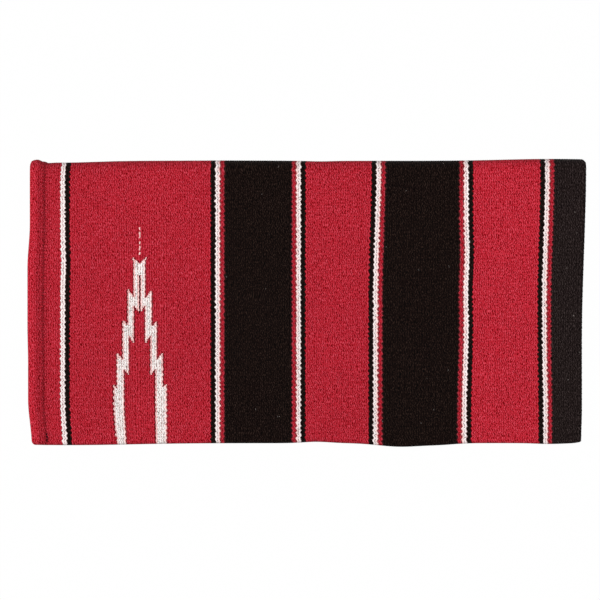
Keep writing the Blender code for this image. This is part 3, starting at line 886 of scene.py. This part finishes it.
def stitching():
    """A tree that makes a straight run of hem stitches: bars across the seam, over a running thread."""
    tree = bpy.data.node_groups.new("hem_stitches", "GeometryNodeTree")
    sizes = {
        "Seam Length": (LEAF_LENGTH["outer"], "Float"), "Stitch Spacing": (STITCH_SPACING, "Float"),
        "Stitch Length": (STITCH_LENGTH, "Float"), "Thread Radius": (THREAD_RADIUS, "Float"),
        "Seed": (STITCH_SEED[1], "Int"), "Thread": (None, "Material"),
    }
    for name, (value, kind) in sizes.items():
        socket = tree.interface.new_socket(name, in_out="INPUT", socket_type=f"NodeSocket{kind}")
        if value is not None:
            socket.default_value = value
    tree.interface.new_socket("Geometry", in_out="OUTPUT", socket_type="NodeSocketGeometry")
    given = tree.nodes.new("NodeGroupInput")
    length, spacing, bar, radius, seed, thread = (Dye(tree, given.outputs[name]) for name in sizes)
    start = Dye(tree)
    step = start.node("ShaderNodeCombineXYZ", {}, {1: spacing})
    count = length.maths("DIVIDE", spacing).maths("FLOOR")
    places = start.node("GeometryNodeMeshLine", {}, {"Count": count, "Offset": step})
    ends = [
        start.node("ShaderNodeCombineXYZ", {}, {0: bar * share, 2: radius * rise})
        for share, rise in STITCH_ARCH
    ]
    arch = start.node(
        "GeometryNodeCurveQuadraticBezier", {},
        {"Resolution": ARCH_STEPS, "Start": ends[0], "Middle": ends[1], "End": ends[2]},
    )
    ring = {"Resolution": THREAD_SIDES, "Radius": radius}
    round_thread = start.node("GeometryNodeCurvePrimitiveCircle", {}, ring)
    sweep = {"Profile Curve": round_thread, "Fill Caps": True}
    one = start.node("GeometryNodeCurveToMesh", {}, {"Curve": arch, **sweep})
    turn = start.node(
        "FunctionNodeRandomValue", {"data_type": "FLOAT_VECTOR"},
        {0: (0, 0, -STITCH_SWING), 1: (0, 0, STITCH_SWING), "Seed": seed},
    )
    bars = start.node(
        "GeometryNodeInstanceOnPoints", {}, {"Points": places, "Instance": one, "Rotation": turn}
    )
    fine = start.node("ShaderNodeCombineXYZ", {}, {1: spacing * (1 / KNOTS_A_STITCH)})
    knots = start.node("GeometryNodeMeshLine", {}, {"Count": count * KNOTS_A_STITCH, "Offset": fine})
    line = start.node("GeometryNodeMeshToCurve", {}, {"Mesh": knots})
    running = start.node("GeometryNodeCurveToMesh", {}, {"Curve": line, **sweep})
    joined = tree.nodes.new("GeometryNodeJoinGeometry")
    for part in (bars, running):
        tree.links.new(part.socket, joined.inputs[0])
    whole = start.node("GeometryNodeRealizeInstances", {}, {0: Dye(tree, joined.outputs[0])})
    sewn = start.node("GeometryNodeSetMaterial", {}, {"Geometry": whole, "Material": thread})
    result = tree.nodes.new("NodeGroupOutput")
    tree.links.new(sewn.socket, result.inputs[0])
    return tree


def straight_stitches(tree, length, seed):
    """The tree's result as a plain mesh, with its seam along Y."""
    holder = bpy.data.objects.new("seam", bpy.data.meshes.new("seam"))
    bpy.context.scene.collection.objects.link(holder)
    modifier = holder.modifiers.new("stitches", "NODES")
    modifier.node_group = tree
    wanted = {"Seam Length": length, "Seed": seed, "Thread": hem_thread}
    for item in tree.interface.items_tree:
        if item.name in wanted:
            modifier[item.identifier] = wanted[item.name]
    graph = bpy.context.evaluated_depsgraph_get()
    mesh = bpy.data.meshes.new_from_object(holder.evaluated_get(graph))
    bpy.data.objects.remove(holder)
    return mesh


def sewn_hem(leaf, tree):
    """Lays the stitches of both faces into the seam's valleys, over the spine with the cloth."""
    pieces = []
    for side in (1, -1):
        mesh = straight_stitches(tree, LEAF_LENGTH[leaf], STITCH_SEED[side])
        flat = np.empty(len(mesh.vertices) * 3, np.float32)
        mesh.vertices.foreach_get("co", flat)
        flat = flat.reshape(-1, 3).astype(float)
        warp = np.clip(flat[:, 1] / LEAF_LENGTH[leaf] * WARPS, 0, WARPS)
        q = SEAM_INSET - STITCH_SHIFT + flat[:, 0]
        lift, _ = face_lift(q, warp, leaf, side)
        middle, _ = face_lift(np.full_like(q, SEAM_INSET), warp, leaf, side)
        high = (lift + middle) / 2 + THREAD_RISE + flat[:, 2] * THREAD_FLATNESS
        points = folded(q, warp, side * high, leaf)
        mesh.vertices.foreach_set("co", points.astype(np.float32).ravel())
        layer = mesh.uv_layers.new(name="Weave")
        corners = np.empty(len(mesh.loops), np.int32)
        mesh.loops.foreach_get("vertex_index", corners)
        spots = np.stack([q / THREAD_FIBRE, flat[:, 1] / THREAD_FIBRE], -1)[corners]
        layer.uv.foreach_set("vector", spots.astype(np.float32).ravel())
        mesh.shade_smooth()
        pieces.append(bpy.data.objects.new(f"{leaf}_hem_thread_{'front' if side > 0 else 'back'}", mesh))
        bpy.context.scene.collection.objects.link(pieces[-1])
    nodes = [f"near_{leaf}_hem_thread", f"off_{leaf}_hem_thread"]
    for piece in pieces:
        fold_over_spine(piece, nodes)
    return pieces


def open_end(pick, warp):
    """The short gap at the open end of the seam, in painted shadow: yarn 1 there, and 0 elsewhere."""
    height = warp / WARPS * LEAF_LENGTH["outer"]
    in_gap = (np.abs(pick - GAP_PICK) < GAP_HALF_WIDTH) & (height > GAP_LOW) & (height < GAP_HIGH)
    return np.where(in_gap, 1, 0)


seam = stitching()
for leaf in LEAF_RADIUS:
    threads = sewn_hem(leaf, seam)
    yarns = [red_wool, painted_gap_shadow_wool]
    band(leaf, "hem_end", yarns, back_step=1, inlay=open_end)


# Studio
# A pale floor, which the camera sees as white with the blanket's faint shadow, and soft lamps
# from the left and above.

FLOOR_SIZE = 12.0
FLOOR_DROP = 0.0005
FLOOR_GREY = 0.7
FLOOR_WHITENESS = 0.99
FLOOR_ROUGHNESS, FLOOR_GLOSS = 0.9, 0.1
AMBIENT = 0.32

floor_mesh = bpy.data.meshes.new("floor")
half = FLOOR_SIZE / 2
floor_mesh.from_pydata(
    [(x, y, -FLOOR_DROP) for x, y in ((-half, -half), (half, -half), (half, half), (-half, half))],
    [], [(0, 1, 2, 3)],
)
floor = bpy.data.objects.new("floor", floor_mesh)
bpy.context.scene.collection.objects.link(floor)
paper = bpy.data.materials.new("paper")
paper.use_nodes = True
shader = paper.node_tree.nodes["Principled BSDF"]
shader.inputs["Base Color"].default_value = (FLOOR_GREY, FLOOR_GREY, FLOOR_GREY, 1)
shader.inputs["Roughness"].default_value = FLOOR_ROUGHNESS
shader.inputs["Specular IOR Level"].default_value = FLOOR_GLOSS
start = Dye(paper.node_tree)
glow = start.node("ShaderNodeEmission", {}, {"Color": (1, 1, 1, 1), "Strength": 1.0})
seen = start.node("ShaderNodeLightPath", {}, {}, "Is Camera Ray")
lit = Dye(paper.node_tree, shader.outputs[0])
both = start.node("ShaderNodeMixShader", {}, {0: seen * FLOOR_WHITENESS, 1: lit, 2: glow})
paper.node_tree.links.new(both.socket, paper.node_tree.nodes["Material Output"].inputs["Surface"])
floor_mesh.materials.append(paper)

sky = bpy.data.worlds.new("sky")
sky.use_nodes = True
bpy.context.scene.world = sky
start = Dye(sky.node_tree)
path = start.node("ShaderNodeLightPath", {}, {}, "Is Camera Ray")
shiny = start.node("ShaderNodeLightPath", {}, {}, "Is Glossy Ray")
clear = start.node("ShaderNodeLightPath", {}, {}, "Is Transmission Ray")
straight = (path + shiny + clear).maths("MINIMUM", 1.0)
background = sky.node_tree.nodes["Background"]
background.inputs["Color"].default_value = (1, 1, 1, 1)
sky.node_tree.links.new((straight * (1 - AMBIENT) + AMBIENT).socket, background.inputs["Strength"])

# Each lamp's name, place, size in metres and power in watts
LAMPS = (
    ("key", (-3.6, 0.3, 3.6), 1.9, 176),
    ("fill", (1.9, -0.3, 2.7), 1.8, 44),
)
for name, place, size, power in LAMPS:
    lamp = bpy.data.lights.new(name, "AREA")
    lamp.size = size
    lamp.energy = power
    holder = bpy.data.objects.new(name, lamp)
    holder.location = place
    holder.rotation_euler = (-Vector(place)).to_track_quat("-Z", "Y").to_euler()
    bpy.context.scene.collection.objects.link(holder)

bpy.context.scene.view_settings.view_transform = "Standard"
